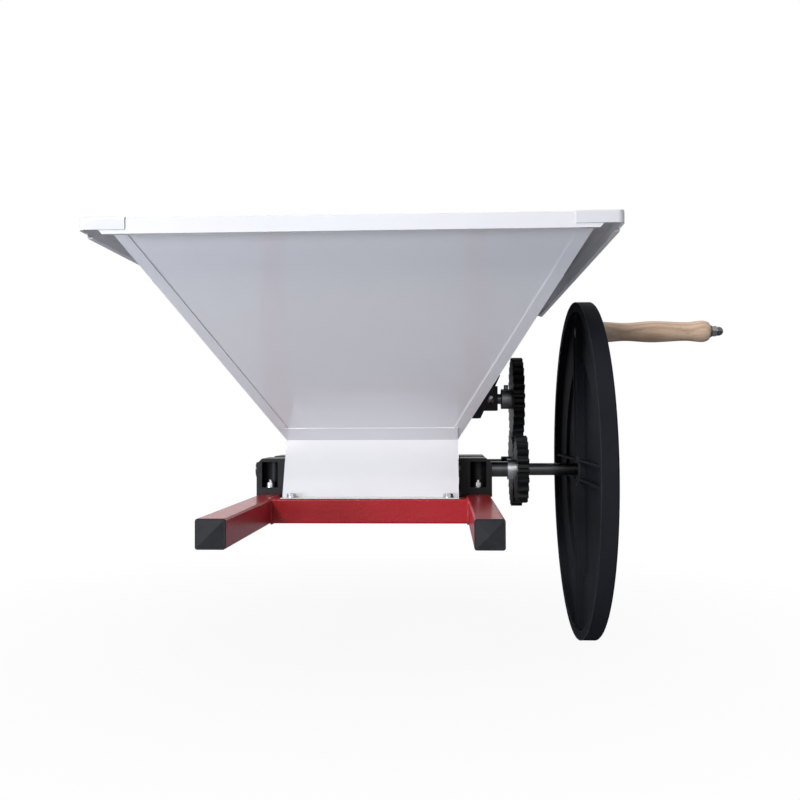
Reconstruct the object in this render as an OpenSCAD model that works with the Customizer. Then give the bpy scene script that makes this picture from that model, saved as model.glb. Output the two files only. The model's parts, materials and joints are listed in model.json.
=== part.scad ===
// Hand-cranked grape crusher: sheet hopper, two fluted rollers and a gear-driven agitator.
// Units are millimetres. The origin is the centre of the frame underside.
// +X points to the flywheel, -Y to the front and +Z up.

/* [Frame] */
// Width of the square tube
tube_size = 30; // [28:1:34]
// Wall of the square tube
tube_wall = 2; // [1.5:0.5:3]
// Corner radius of the square tube
tube_corner = 2.5; // [1.5:0.5:4]
// Distance between the rail centres
rail_spacing = 270; // [264:1:300]
// Length of each rail tube
rail_length = 754; // [640:1:840]
// Height of the pyramid on each tube end cap
cap_pyramid = 4; // [2:0.5:8]

/* [Hopper] */
// Thickness of the sheet
sheet = 1.2; // [1:0.1:1.6]
// Width of the hopper over its lips
hopper_width = 527; // [500:1:540]
// Length of the hopper over its lips
hopper_length = 769; // [680:1:820]
// Height of the hopper walls
hopper_height = 222; // [200:1:260]
// Width of the flat rim
rim_width = 17.5; // [15:0.5:24]
// Height of the lip below the rim
lip_height = 15.5; // [14:0.5:22]
// Depth of the hem under the lip
hem_depth = 5; // [3:0.5:8]
// Width of the throat
throat_width = 218; // [206:1:222]
// Length of the throat
throat_length = 192; // [188:1:200]
// Height of the throat above the tubes
throat_height = 71; // [68:1:80]
// Depth of the chute edge below the throat
chute_drop = 11; // [6:0.5:12]
// Width of the lap strips along the hopper corners
lap_width = 14; // [10:1:20]
// Leg length of the rim corner caps
corner_leg = 47; // [38:1:60]
// Outer radius of the rim corner caps
corner_radius = 8; // [6:0.5:10]

/* [Rollers] */
// Gap between the two rollers
roller_gap = 10; // [8:0.5:16]
// Number of flutes on each roller
roller_flutes = 18; // [12:1:24]
// Depth of the flutes
flute_depth = 2.5; // [1.5:0.25:4]
// Diameter of the roller shafts
shaft_d = 20; // [18:0.5:22]
// Height of the roller axes above the tubes
axis_height = 31; // [30:0.5:33]

/* [Bearings] */
// Reach of the bearing blocks from the rail centre towards the hopper
block_inner = 23; // [18:0.5:24]
// Reach of the bearing blocks from the rail centre to the outside
block_outer = 17.5; // [16:0.5:20]
// Length of the bearing blocks along the rail
block_length = 55; // [54:1:70]
// Height of the bearing blocks above the tubes
block_height = 46.5; // [44:0.5:54]
// Thickness of the block foot under the nuts
foot_thickness = 9; // [7:0.5:11]
// Radial running clearance of the shafts
running_clearance = 0.05; // [0.02:0.01:0.1]

/* [Gears] */
// Module of the gear teeth
gear_module = 4; // [3.9:0.05:4.1]
// Teeth of the pinion
pinion_teeth = 20; // [19:1:21]
// Teeth of the roller gear and the agitator gear
gear_teeth = 26; // [25:1:27]
// Width of the gear teeth
gear_face = 14.7; // [10:0.1:20]
// Distance from the bearing blocks to the gears
gear_gap = 32; // [30:0.5:40]
// Play between the teeth along the pitch circle
gear_backlash = 0.6; // [0.3:0.1:0.8]
// Diameter of the gear hubs
hub_d = 27; // [26:0.5:32]

/* [Agitator] */
// Diameter of the agitator shaft
agitator_shaft_d = 14; // [12:0.5:16]
// Radius swept by the agitator pins
agitator_reach = 48; // [36:1:50]
// Diameter of the agitator pins
agitator_pin_d = 7; // [5:0.5:9]
// Number of agitator pins
agitator_pin_count = 8; // [4:1:10]
// Half width of the bracket foot
bracket_half = 32; // [31:0.5:40]

/* [Flywheel] */
// Radius of the flywheel
wheel_r = 217; // [190:0.5:230]
// Distance from the gears to the flywheel
wheel_gap = 75.7; // [60:0.1:90]
// Width of the flywheel rim
rim_face = 19.8; // [16:0.1:24]
// Thickness of the flywheel rim
rim_thickness = 12; // [8:0.5:14]
// Thickness of the flywheel web
web_thickness = 4; // [3:0.5:5]
// Radius of the step in the web
step_r = 143; // [110:1:150]
// Thickness of the spoke ribs
rib_thickness = 3; // [2:0.5:5]
// Distance between the two ribs of a spoke
rib_spacing = 24; // [22:0.5:30]
// Diameter of the flywheel hub
wheel_hub_d = 44; // [40:1:56]

/* [Handle] */
// Distance from the handle to the outside of the flywheel
handle_inset = 38; // [30:0.5:60]
// Length of the grip
grip_length = 154.5; // [120:0.5:180]
// Largest diameter of the grip
grip_d = 28; // [25:0.5:34]
// Diameter of the handle bolt
handle_bolt_d = 8; // [7:0.5:9]

/* [Fasteners] */
// Diameter of the frame bolts and studs
bolt_d = 6; // [5:0.5:6.5]
// Radial clearance of the bolt holes
bolt_clearance = 0.2; // [0.1:0.05:0.4]

/* [Hidden] */
$fn = 48;

// Length that each cut runs past the face it opens
cut = 1;
// Length by which shapes of one piece run into each other
merge = 2;

// Places of the frame
rail_x = rail_spacing / 2;
rail_half = rail_length / 2;
tube_mid = tube_size / 2;
cap_flange = 3;
cap_plug = 18;
cap_plug_wall = 2;
cap_plug_clearance = 0.1;
cap_border = 1.5;

// Places of the gear train
roller_y = gear_module * (pinion_teeth + gear_teeth) / 4;
axis_z = tube_size + axis_height;
roller_r = roller_y - roller_gap / 2;
agitator_z = axis_z + sqrt(pow(gear_module * gear_teeth, 2) - pow(roller_y, 2));
gear_x = rail_x + block_outer + gear_gap;
agitator_gear_shift = 2;
agitator_gear_x = gear_x - agitator_gear_shift;
pinion_hub_length = 10.7;
back_hub_length = 13;
agitator_hub_length = 13.5;

// Places of the hopper
throat_x = throat_width / 2;
throat_y = throat_length / 2;
throat_z = tube_size + throat_height;
chute_z = throat_z - chute_drop;
rim_z = throat_z + hopper_height;
lip_x = hopper_width / 2;
lip_y = hopper_length / 2;
slope_x = (lip_x - rim_width - throat_x) / hopper_height;
slope_y = (lip_y - rim_width - throat_y) / hopper_height;
run_x = sheet * sqrt(1 + slope_x * slope_x);
run_y = sheet * sqrt(1 + slope_y * slope_y);
lip_bottom = rim_z - lip_height;
sheet_gap = 0.5;
lip_end_height = 11;
lip_notch = 18;
corner_wall = 1.5;
corner_top = 1.2;
corner_skirt = 11.5;
corner_edge = 2.5;
corner_cut = corner_radius - corner_wall + sheet_gap;
apron_flange_z = throat_z + 14.5;
lap_start_z = apron_flange_z + sheet_gap;
lap_end_gap = 8;
wall_hole_room = 3;

// Places of the aprons
cross_y = throat_y + 33.5;
apron_foot_y = throat_y + 31;
apron_slope = (apron_foot_y - throat_y) / throat_height;
apron_run = sheet * sqrt(1 + apron_slope * apron_slope);
apron_foot_end = cross_y + tube_mid - sheet_gap;
apron_bolt_x = throat_x - 13;
apron_bolt_y = (apron_foot_y + apron_foot_end) / 2 + 2;
apron_bolt_length = 8;

// Places of the bearings
block_cheek = 5;
block_hook = 3;
block_chamfer = 7;
foot_top = tube_size + foot_thickness;
stud_inset = 6;
stud_y = block_length / 2 - stud_inset;
pocket_r = 10.3;
pocket_top = tube_size + block_height - 4.5;
washer_t = 1.6;
nut_height = 5;
nut_width = 10;
head_height = 5;
thread_end = 3;

// Places of the agitator brackets
bracket_low = agitator_z - 26.3;
bracket_high = agitator_z + 31.1;
bracket_body_down = 16;
bracket_body_up = 17;
bracket_body_half = 18;
bracket_stub = 13;
collar_room = 2;
bracket_body_x = agitator_gear_x - agitator_hub_length - 5.5;
bracket_left_x = wall_x(agitator_z) + 10;
bracket_foot_low = 14.2;
bracket_foot_high = 5.4;
bracket_bolt_y = bracket_half - 6;
bracket_bolt_z = agitator_z + 4;
bracket_seat = 7;
bracket_seat_r = 7.5;
wall_tilt = 90 + atan(slope_x);

// Places along the front shaft
shaft_left = -(rail_x + block_outer + 5);
neck_d = 16;
wheel_x = gear_x + wheel_gap;
wheel_web_x = wheel_x + 8.5;
wheel_disc_x = wheel_web_x + web_thickness;
wheel_hub_x = wheel_x + 4.5;
wheel_hub_end = wheel_x + 24.5;
seat_d = 14;
thread_d = 12;
key_size = 5;
key_length = 16;
key_inset = 2;
rib_start = 16;
step_wall = 4;
wheel_washer_t = 2.5;
wheel_nut_height = 10;
wheel_nut_width = 18;

// Places along the handle
crank_radius = wheel_r - handle_inset;
handle_z = axis_z + crank_radius;
boss_d = 24;
boss_end = wheel_x + 21.9;
handle_gap = 0.5;
grip_x = boss_end + handle_gap;
grip_end = grip_x + grip_length;
handle_washer_x = grip_end + handle_gap;
handle_washer_t = 1.6;
dome_x = handle_washer_x + handle_washer_t;
dome_hex = 6.5;
dome_neck = 3.2;
dome_r = 5.9;
handle_head = 5.3;
handle_hex = 13;
handle_clearance = 0.08;
// Stations of the grip outline, each a share of the length and of the largest diameter
grip_stations = [
  [0, 0.84], [0.025, 0.935], [0.111, 0.971], [0.295, 0.844], [0.517, 0.993],
  [0.803, 0.873], [0.939, 1], [0.984, 0.87], [1, 0.66]
];
grip_steps = 5;

red = [0.62, 0.11, 0.13];
white = [0.92, 0.93, 0.95];
black = [0.12, 0.12, 0.13];
steel = [0.72, 0.73, 0.75];
beech = [0.75, 0.62, 0.47];

// Outer face of a side wall at height z
function wall_x(z) = throat_x + slope_x * (z - throat_z);

// Outer face of the front wall at height z
function wall_y(z) = throat_y + slope_y * (z - throat_z);

// Corner diameter of a hexagon with the given width across its flats
function hex_d(width) = width / cos(30);

// Involute function in degrees
function inv(a) = tan(a) * 180 / PI - a;

// Shape of the gear teeth
pressure_angle = 20;
dedendum = 1.25;
flank_steps = 5;

// Half the tooth angle at radius r for a gear with the given number of teeth
function half_tooth(teeth, r) =
  let (
    pitch_r = gear_module * teeth / 2,
    base_r = pitch_r * cos(pressure_angle),
    at_pitch = 90 / teeth - gear_backlash / pitch_r * 45 / PI
  )
  at_pitch + inv(pressure_angle) - inv(acos(min(1, base_r / r)));

// Outline of one tooth around angle a: root, rising flank, tip, falling flank and root
function tooth(teeth, a) =
  let (
    pitch_r = gear_module * teeth / 2,
    base_r = pitch_r * cos(pressure_angle),
    root_r = pitch_r - dedendum * gear_module,
    tip_r = pitch_r + gear_module,
    flank = [for (i = [0:flank_steps]) base_r + (tip_r - base_r) * i / flank_steps],
    rise = [for (r = flank) [r, a - half_tooth(teeth, r)]],
    fall = [for (i = [flank_steps:-1:0]) [flank[i], a + half_tooth(teeth, flank[i])]],
    foot = half_tooth(teeth, base_r),
    polar = concat([[root_r, a - foot]], rise, fall, [[root_r, a + foot]])
  )
  [for (p = polar) p[0] * [cos(p[1]), sin(p[1])]];

function gear_outline(teeth) = [for (i = [0:teeth - 1]) each tooth(teeth, i * 360 / teeth)];

// Grip radius between station i and the next, on a smooth curve through the stations
function grip_point(i, s) =
  let (
    last = len(grip_stations) - 1,
    p = grip_stations[i],
    q = grip_stations[i + 1],
    before = grip_stations[max(0, i - 1)],
    after = grip_stations[min(last, i + 2)],
    span = q[0] - p[0],
    m0 = (q[1] - before[1]) / (q[0] - before[0]) * span,
    m1 = (after[1] - p[1]) / (after[0] - p[0]) * span,
    s2 = s * s,
    s3 = s2 * s,
    ends = (2 * s3 - 3 * s2 + 1) * p[1] + (3 * s2 - 2 * s3) * q[1],
    share = ends + (s3 - 2 * s2 + s) * m0 + (s3 - s2) * m1
  )
  [share * grip_d / 2, (p[0] + span * s) * grip_length];

module rounded_square(width, radius) {
  square([width - 2 * radius, width], center = true);
  square([width, width - 2 * radius], center = true);
  for (x = [-1, 1], y = [-1, 1]) {
    translate([x * (width / 2 - radius), y * (width / 2 - radius)]) circle(radius);
  }
}

module tube(length) {
  linear_extrude(length, center = true) difference() {
    rounded_square(tube_size, tube_corner);
    rounded_square(tube_size - 2 * tube_wall, max(0.5, tube_corner - tube_wall));
  }
}

// Round bar along X
module bar(d, x0, x1) {
  translate([x0, 0, 0]) rotate([0, 90, 0]) cylinder(d = d, h = x1 - x0);
}

// Hole for a frame bolt, cut along Z
module bolt_hole(low, high) {
  translate([0, 0, low]) cylinder(d = bolt_d + 2 * bolt_clearance, h = high - low);
}

// Hexagonal bar along X
module hex_bar(width, x0, x1) {
  translate([x0, 0, 0]) rotate([0, 90, 0]) cylinder(d = hex_d(width), h = x1 - x0, $fn = 6);
}

// Shape drawn in width and height, extruded along Y
module along_y(length) {
  rotate([90, 0, 0]) linear_extrude(length, center = true) children();
}

// Shape drawn in frontward distance and height, extruded along X
module along_x(length) {
  rotate([90, 0, -90]) linear_extrude(length, center = true) children();
}

module rail(side) {
  color(red) translate([side * rail_x, 0, tube_mid]) rotate([90, 0, 0]) tube(rail_length);
}

module left_rail() {
  rail(-1);
}

module right_rail() {
  rail(1);
}

module cross_tube(end) {
  color(red) difference() {
    translate([0, end * cross_y, tube_mid]) rotate([0, 90, 0]) tube(rail_spacing - tube_size);
    for (x = [-1, 1]) {
      translate([x * apron_bolt_x, end * apron_bolt_y, tube_size]) bolt_hole(-tube_mid, cut);
    }
  }
}

module front_cross_tube() {
  cross_tube(-1);
}

module back_cross_tube() {
  cross_tube(1);
}

// Face of an end cap, rising to a point across one direction
module cap_wedge() {
  half = tube_mid - cap_border;
  linear_extrude(tube_size, center = true) {
    polygon([[-half, -cap_flange], [half, -cap_flange], [0, -cap_flange - cap_pyramid]]);
  }
}

module end_cap(side, end) {
  plug_width = tube_size - 2 * tube_wall - 2 * cap_plug_clearance;
  color(black) translate([side * rail_x, end * rail_half, tube_mid]) rotate([0, 0, end < 0 ? 0 : 180]) {
    rotate([90, 0, 0]) linear_extrude(cap_flange) rounded_square(tube_size, tube_corner);
    intersection() {
      cap_wedge();
      rotate([0, 90, 0]) cap_wedge();
    }
    rotate([-90, 0, 0]) linear_extrude(cap_plug) difference() {
      rounded_square(plug_width, max(0.5, tube_corner - tube_wall));
      square(plug_width - 2 * cap_plug_wall, center = true);
    }
  }
}

module front_left_end_cap() {
  end_cap(-1, -1);
}

module front_right_end_cap() {
  end_cap(1, -1);
}

module back_left_end_cap() {
  end_cap(-1, 1);
}

module back_right_end_cap() {
  end_cap(1, 1);
}

// Sheet wall between the throat and the rim, drawn in outward distance and height
module wall_section(throat, slope, run, drop) {
  top = throat + slope * hopper_height;
  low = throat - slope * drop;
  low_z = throat_z - drop;
  polygon([[low, low_z], [top, rim_z], [top - run, rim_z], [low - run, low_z]]);
}

// Lip seen from outside, with its lower corners notched under the corner caps
module lip_face(half) {
  notch = half + corner_cut - lip_notch;
  low = notch - (lip_height - lip_end_height);
  polygon([
    [-half, rim_z], [half, rim_z], [half, rim_z - lip_end_height], [notch, rim_z - lip_end_height],
    [low, lip_bottom], [-low, lip_bottom], [-notch, rim_z - lip_end_height], [-half, rim_z - lip_end_height]
  ]);
}

// Folded panel facing the front: wall trimmed by the child shape, flat rim, lip and hem.
// The wall runs on below the throat by the given drop.
module folded_panel(throat, slope, run, drop, lip, lip_half, flange_half, flange_cut) {
  inner = throat + slope * hopper_height - run;
  hem_half = lip_half + corner_cut - lip_notch - (lip_height - lip_end_height);
  intersection() {
    along_x(3 * lip_half) wall_section(throat, slope, run, drop);
    along_y(3 * lip) children();
  }
  translate([0, 0, rim_z - sheet]) linear_extrude(sheet) polygon([
    [-flange_half, -inner], [flange_half, -inner], [flange_half, flange_cut - lip],
    [flange_half - flange_cut, -lip], [flange_cut - flange_half, -lip], [-flange_half, flange_cut - lip]
  ]);
  translate([0, -lip + sheet / 2, 0]) along_y(sheet) lip_face(lip_half);
  translate([-hem_half, -lip, lip_bottom]) cube([2 * hem_half, hem_depth, sheet]);
}

// Front or back panel, which fits between the side panels
module end_panel() {
  low = wall_x(throat_z) - run_x;
  high = wall_x(rim_z) - run_x;
  flange_half = wall_x(rim_z - sheet) - run_x;
  lip_half = lip_x - corner_cut;
  color(white) folded_panel(throat_y, slope_y, run_y, chute_drop, lip_y, lip_half, flange_half, 0) {
    polygon([
      [-low, chute_z], [low, chute_z], [low, throat_z], [high, rim_z], [-high, rim_z], [-low, throat_z]
    ]);
  }
}

module front_hopper_panel() {
  end_panel();
}

module back_hopper_panel() {
  rotate([0, 0, 180]) end_panel();
}

// Half outline of a side panel, which closes over the edges of the end panels above the aprons
function side_edge() = [
  [wall_y(throat_z), throat_z], [wall_y(lap_start_z), lap_start_z],
  [wall_y(lap_start_z) + run_y, lap_start_z], [wall_y(rim_z - sheet) + run_y, rim_z - sheet]
];

// Strip of the right side panel folded over the outer face of the front panel
module lap_strip() {
  low = lap_start_z;
  high = rim_z - lap_end_gap;
  intersection() {
    along_x(2 * hopper_width) polygon([
      [wall_y(low), low], [wall_y(low) + run_y, low], [wall_y(high) + run_y, high], [wall_y(high), high]
    ]);
    along_y(2 * hopper_length) polygon([
      [wall_x(low) - lap_width, low], [wall_x(low), low],
      [wall_x(high), high], [wall_x(high) - lap_width, high]
    ]);
  }
}

// Child shape placed on the right wall at the two bracket bolts, with its Z axis out of the wall
module at_bracket_bolts() {
  for (y = [-1, 1]) {
    translate([wall_x(bracket_bolt_z), y * bracket_bolt_y, bracket_bolt_z]) {
      rotate([0, wall_tilt, 0]) children();
    }
  }
}

module side_panel() {
  edge = side_edge();
  outline = concat(edge, [for (i = [len(edge) - 1:-1:0]) [-edge[i][0], edge[i][1]]]);
  lip_half = lip_y - corner_cut;
  color(white) difference() {
    union() {
      rotate([0, 0, 90]) {
        folded_panel(throat_x, slope_x, run_x, 0, lip_x, lip_half, lip_y - sheet, corner_cut - sheet) {
          polygon(outline);
        }
      }
      lap_strip();
      mirror([0, 1, 0]) lap_strip();
    }
    translate([0, 0, agitator_z]) bar(agitator_shaft_d + 2 * wall_hole_room, throat_x, bracket_body_x);
    at_bracket_bolts() bolt_hole(-sheet - cut, cut);
  }
}

module right_hopper_panel() {
  side_panel();
}

module left_hopper_panel() {
  mirror([1, 0, 0]) side_panel();
}

// Plan of a rim corner cap, rounded at its outer corner, grown inward from the given distance
module corner_plan(inset) {
  r = corner_radius - inset;
  x = lip_x + corner_wall - inset;
  y = lip_y + corner_wall - inset;
  translate([x - r, y - r]) circle(r);
  translate([x - 2 * corner_leg, y - 2 * corner_leg]) square([2 * corner_leg - r, 2 * corner_leg]);
  translate([x - 2 * corner_leg, y - 2 * corner_leg]) square([2 * corner_leg, 2 * corner_leg - r]);
}

// Block whose top edge is rounded at the given outer face, drawn in outward distance and height
module rounded_edge(outer) {
  top = rim_z + corner_top;
  r = corner_edge;
  translate([outer - 2 * corner_leg, top - 2 * corner_leg]) square([2 * corner_leg, 2 * corner_leg - r]);
  translate([outer - 2 * corner_leg, top - 2 * corner_leg]) square([2 * corner_leg - r, 2 * corner_leg]);
  translate([outer - r, top - r]) circle(r);
}

module rim_corner(side, end) {
  outer_x = lip_x + corner_wall;
  outer_y = lip_y + corner_wall;
  inner_x = lip_x - rim_width;
  inner_y = lip_y - rim_width;
  color(white) mirror([1 - side, 0, 0]) mirror([0, 1 - end, 0]) intersection() {
    union() {
      translate([0, 0, rim_z]) linear_extrude(corner_top) difference() {
        corner_plan(0);
        translate([inner_x - 2 * corner_leg, inner_y - 2 * corner_leg]) square(2 * corner_leg);
      }
      translate([0, 0, rim_z - corner_skirt]) linear_extrude(corner_skirt) difference() {
        corner_plan(0);
        corner_plan(corner_wall);
      }
    }
    translate([outer_x - corner_leg, outer_y - corner_leg, lip_bottom]) cube(corner_leg);
    along_y(4 * lip_y) rounded_edge(outer_x);
    rotate([0, 0, 180]) along_x(4 * lip_x) rounded_edge(outer_y);
  }
}

module front_left_corner() {
  rim_corner(-1, -1);
}

module front_right_corner() {
  rim_corner(1, -1);
}

module back_left_corner() {
  rim_corner(-1, 1);
}

module back_right_corner() {
  rim_corner(1, 1);
}

module apron() {
  fold = (run_y - apron_run) / (slope_y + apron_slope);
  color(white) difference() {
    along_x(throat_width) polygon([
      [wall_y(apron_flange_z), apron_flange_z], [throat_y, throat_z], [apron_foot_y, tube_size],
      [apron_foot_end, tube_size], [apron_foot_end, tube_size + sheet],
      [apron_foot_y - apron_slope * sheet + apron_run, tube_size + sheet],
      [throat_y + apron_slope * fold + apron_run, throat_z - fold],
      [wall_y(apron_flange_z) + run_y, apron_flange_z]
    ]);
    for (x = [-1, 1]) {
      translate([x * apron_bolt_x, -apron_bolt_y, tube_size]) bolt_hole(-cut, sheet + cut);
    }
  }
}

module front_apron() {
  apron();
}

module back_apron() {
  rotate([0, 0, 180]) apron();
}

module side_plate() {
  color(white) difference() {
    translate([throat_x - sheet / 2, 0, 0]) along_x(sheet) polygon([
      [-throat_y, throat_z], [throat_y, throat_z], [apron_foot_y, tube_size], [-apron_foot_y, tube_size]
    ]);
    for (y = [-1, 1]) {
      translate([0, y * roller_y, axis_z]) {
        bar(shaft_d + 2 * wall_hole_room, throat_x - sheet - cut, throat_x + cut);
      }
    }
  }
}

module right_side_plate() {
  side_plate();
}

module left_side_plate() {
  mirror([1, 0, 0]) side_plate();
}

// Saddle block on a rail, hooked over its inner side, with a pocket for a nut at each end
module bearing(side, end) {
  top = tube_size + block_height;
  low = tube_size - block_cheek;
  hook = tube_size - block_hook;
  color(black) mirror([1 - side, 0, 0]) translate([rail_x, end * roller_y, 0]) difference() {
    along_y(block_length) polygon([
      [-block_inner, low], [-tube_mid, low], [-tube_mid, tube_size], [tube_mid, tube_size], [tube_mid, hook],
      [block_outer, hook], [block_outer, top - block_chamfer], [block_outer - block_chamfer, top],
      [-block_inner, top]
    ]);
    translate([0, 0, axis_z]) {
      bar(shaft_d + 2 * running_clearance, -block_inner - cut, block_outer + cut);
    }
    for (y = [-1, 1]) {
      translate([0, y * stud_y, foot_top]) cylinder(r = pocket_r, h = pocket_top - foot_top);
      translate([-pocket_r, y > 0 ? stud_y : -stud_y - stud_inset - cut, foot_top]) {
        cube([2 * pocket_r, stud_inset + cut, pocket_top - foot_top]);
      }
      translate([0, y * stud_y, tube_size]) bolt_hole(-cut, foot_thickness + cut);
    }
  }
}

module front_left_bearing() {
  bearing(-1, -1);
}

module front_right_bearing() {
  bearing(1, -1);
}

module back_left_bearing() {
  bearing(-1, 1);
}

module back_right_bearing() {
  bearing(1, 1);
}

// Child shape placed at each bearing stud, on top of the rails
module at_studs() {
  for (x = [-1, 1], y = [-1, 1], s = [-1, 1]) {
    translate([x * rail_x, y * roller_y + s * stud_y, tube_size]) children();
  }
}

module bearing_studs() {
  color(steel) at_studs() cylinder(d = bolt_d, h = foot_thickness + washer_t + nut_height + thread_end);
}

module bearing_washers() {
  color(steel) at_studs() translate([0, 0, foot_thickness]) difference() {
    cylinder(d = 2 * bolt_d, h = washer_t);
    translate([0, 0, -cut]) cylinder(d = bolt_d + 2 * bolt_clearance, h = washer_t + 2 * cut);
  }
}

module bearing_nuts() {
  color(steel) at_studs() translate([0, 0, foot_thickness + washer_t]) difference() {
    cylinder(d = hex_d(nut_width), h = nut_height, $fn = 6);
    translate([0, 0, -cut]) cylinder(d = bolt_d, h = nut_height + 2 * cut);
  }
}

module apron_bolts() {
  color(steel) for (x = [-1, 1], y = [-1, 1]) {
    translate([x * apron_bolt_x, y * apron_bolt_y, tube_size + sheet]) {
      cylinder(d = hex_d(nut_width), h = head_height, $fn = 6);
      translate([0, 0, -apron_bolt_length]) cylinder(d = bolt_d, h = apron_bolt_length + cut);
    }
  }
}

// Bearing bracket of the agitator on the right wall: a wedge foot and a bearing body out to body_x
module agitator_bracket(body_x, body_low, body_high) {
  color(black) difference() {
    union() {
      along_y(2 * bracket_half) polygon([
        [wall_x(bracket_low), bracket_low], [wall_x(bracket_low) + bracket_foot_low, bracket_low],
        [wall_x(bracket_high) + bracket_foot_high, bracket_high], [wall_x(bracket_high), bracket_high]
      ]);
      along_y(2 * bracket_body_half) polygon([
        [wall_x(body_low), body_low], [body_x, body_low], [body_x, body_high], [wall_x(body_high), body_high]
      ]);
    }
    translate([0, 0, agitator_z]) {
      bar(agitator_shaft_d + 2 * running_clearance, throat_x, body_x + cut);
      bar(hub_d + 2 * collar_room, body_x, body_x + bracket_half);
    }
    at_bracket_bolts() {
      bolt_hole(-bracket_seat, 2 * bracket_seat);
      translate([0, 0, bracket_seat]) cylinder(r = bracket_seat_r, h = bracket_half);
    }
  }
}

module right_agitator_bracket() {
  agitator_bracket(bracket_body_x, agitator_z - bracket_body_down, agitator_z + bracket_body_up);
}

module left_agitator_bracket() {
  mirror([1, 0, 0]) agitator_bracket(bracket_left_x, agitator_z - bracket_stub, agitator_z + bracket_stub);
}

// Bolts of the right bracket, with their heads inside the hopper
module bracket_bolt_pair() {
  at_bracket_bolts() {
    translate([0, 0, -sheet - head_height]) cylinder(d = hex_d(nut_width), h = head_height, $fn = 6);
    translate([0, 0, -sheet - cut]) {
      cylinder(d = bolt_d, h = sheet + cut + bracket_seat + nut_height + thread_end);
    }
  }
}

module bracket_bolts() {
  color(steel) {
    bracket_bolt_pair();
    mirror([1, 0, 0]) bracket_bolt_pair();
  }
}

module bracket_nut_pair() {
  at_bracket_bolts() translate([0, 0, bracket_seat]) difference() {
    cylinder(d = hex_d(nut_width), h = nut_height, $fn = 6);
    translate([0, 0, -cut]) cylinder(d = bolt_d, h = nut_height + 2 * cut);
  }
}

module bracket_nuts() {
  color(steel) {
    bracket_nut_pair();
    mirror([1, 0, 0]) bracket_nut_pair();
  }
}

pin_d = 6;
pin_x = 22 - throat_x;
pin_half = roller_r - flute_depth - 4;
flute_r = 5;
roller_half = throat_x - 4;

module roller_pin(end) {
  color(steel) translate([pin_x, end * roller_y, axis_z]) {
    cylinder(d = pin_d, h = 2 * pin_half, center = true);
  }
}

// Fluted roller with a cross hole for its pin
module roller(end) {
  color(steel) translate([0, end * roller_y, axis_z]) difference() {
    bar(2 * roller_r, -roller_half, roller_half);
    for (i = [0:roller_flutes - 1]) {
      rotate([(i + 0.5) * 360 / roller_flutes, 0, 0]) translate([0, 0, roller_r + flute_r - flute_depth]) {
        bar(2 * flute_r, -roller_half - cut, roller_half + cut);
      }
    }
    bar(shaft_d, -roller_half - cut, roller_half + cut);
    translate([pin_x, 0, 0]) cylinder(d = pin_d, h = 2 * pin_half, center = true);
  }
}

module front_roller() {
  roller(-1);
}

module back_roller() {
  roller(1);
}

module front_roller_pin() {
  roller_pin(-1);
}

module back_roller_pin() {
  roller_pin(1);
}

// Key in the top of the flywheel seat
module key_shape() {
  translate([wheel_hub_x + key_inset, -key_size / 2, (seat_d - key_size) / 2]) {
    cube([key_length, key_size, key_size]);
  }
}

module front_roller_shaft() {
  color(steel) translate([0, -roller_y, axis_z]) difference() {
    union() {
      bar(shaft_d, shaft_left, gear_x + gear_face);
      bar(neck_d, gear_x, wheel_hub_x);
      bar(seat_d, gear_x, wheel_hub_end - cut);
      bar(thread_d, gear_x, wheel_hub_end + wheel_washer_t + wheel_nut_height + thread_end);
    }
    translate([pin_x, 0, 0]) cylinder(d = pin_d, h = 2 * shaft_d, center = true);
    key_shape();
  }
}

module back_roller_shaft() {
  color(steel) translate([0, roller_y, axis_z]) difference() {
    bar(shaft_d, shaft_left, gear_x + gear_face);
    translate([pin_x, 0, 0]) cylinder(d = pin_d, h = 2 * shaft_d, center = true);
  }
}

gear_recess = 2;
gear_border = 6;
hub_border = 2;

// Toothed disc along X with a shallow recess in its outer face
module toothed_disc(teeth, bore, x0, turn) {
  root_r = gear_module * (teeth / 2 - dedendum);
  difference() {
    translate([x0, 0, 0]) rotate([turn, 0, 0]) rotate([90, 0, 90]) {
      linear_extrude(gear_face) polygon(gear_outline(teeth));
    }
    bar(bore, x0 - cut, x0 + gear_face + cut);
    difference() {
      bar(2 * (root_r - gear_border), x0 + gear_face - gear_recess, x0 + gear_face + cut);
      bar(hub_d + 2 * hub_border, x0, x0 + gear_face);
    }
  }
}

screw_d = 6;
screw_stand = 1;
agitator_screw_stand = 5.5;
slot_width = 1.2;
// Turn of the roller gears' set screws, which point to the back
screw_turn = -90;

// Hub sleeve along X with a radial hole for its set screw
module hub(bore, x0, x1, turn) {
  difference() {
    bar(hub_d, x0, x1);
    bar(bore, x0 - cut, x1 + cut);
    translate([(x0 + x1) / 2, 0, 0]) rotate([turn, 0, 0]) cylinder(d = screw_d, h = hub_d);
  }
}

// Slotted set screw on a shaft of the given diameter, standing out of its hub
module set_screw(shaft, x, stand, turn) {
  top = hub_d / 2 + stand;
  translate([x, 0, 0]) rotate([turn, 0, 0]) difference() {
    translate([0, 0, shaft / 2]) cylinder(d = screw_d, h = top - shaft / 2);
    translate([-screw_d, -slot_width / 2, top - slot_width]) cube([2 * screw_d, slot_width, 2 * slot_width]);
  }
}

module pinion() {
  color(black) translate([0, -roller_y, axis_z]) toothed_disc(pinion_teeth, shaft_d, gear_x, 0);
}

module pinion_hub() {
  color(steel) translate([0, -roller_y, axis_z]) {
    hub(shaft_d, gear_x - pinion_hub_length, gear_x, screw_turn);
  }
}

module pinion_set_screw() {
  color(steel) translate([0, -roller_y, axis_z]) {
    set_screw(shaft_d, gear_x - pinion_hub_length / 2, screw_stand, screw_turn);
  }
}

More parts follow.
